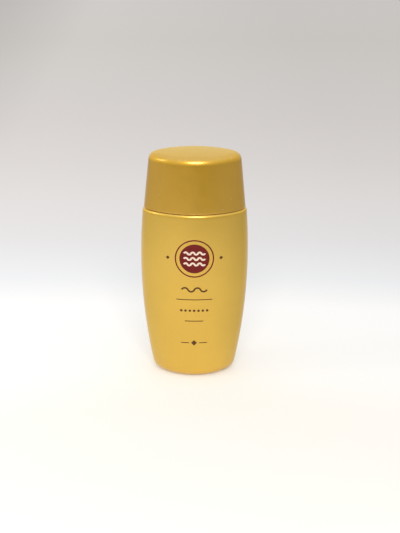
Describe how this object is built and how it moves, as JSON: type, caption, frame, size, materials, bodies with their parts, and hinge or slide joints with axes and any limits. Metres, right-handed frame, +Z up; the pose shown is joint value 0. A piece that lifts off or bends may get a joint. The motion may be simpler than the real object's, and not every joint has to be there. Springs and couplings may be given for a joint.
{
  "type": "oval lotion bottle with screw cap",
  "caption": "Oval sunscreen milk bottle with an oval screw cap that stops in line with it, a press-in orifice plug, a sealing disc and a loose mixing ball.",
  "frame": {"origin": "middle of the base, on the surface that the bottle stands on", "axes": "+Z up along the neck's axis, X across the wide face, front facing -Y"},
  "size_m": [0.05, 0.0314, 0.1065],
  "materials": {
    "gold_body": "gold pearl lacquer on polyethylene, satin gloss",
    "gold_cap": "gold pearl lacquer on polypropylene, satin gloss",
    "white_plug": "natural white polyethylene, satin",
    "white_cap_lining": "white polypropylene, satin",
    "white_foam": "foamed polyethylene, matte",
    "steel": "polished stainless steel ball"
  },
  "bodies": {
    "bottle": {"bottle_body": "gold_body", "orifice_plug": "white_plug"},
    "disc": {"sealing_disc": "white_foam"},
    "cap": {"cap_inner": "white_cap_lining", "cap_shell": "gold_cap"},
    "ball": {"mixing_ball": "steel"}
  },
  "joints": [
    {"name": "cap_lift", "type": "slide", "parent": "bottle", "child": "disc", "axis": [0, 0, 1], "range_m": [0, 0.021]},
    {"name": "cap_turn", "type": "hinge", "parent": "disc", "child": "cap", "pos_m": [0, 0, 0.09], "axis": [0, 0, 1], "range_deg": [0, 2520]},
    {"name": "ball_shake", "type": "slide", "parent": "bottle", "child": "ball", "axis": [0, 0, 1], "range_m": [0, 0.07]}
  ],
  "couplings": [
    {"joint": "cap_lift", "follows": "cap_turn", "m_per_rad": 0.00047746}
  ]
}
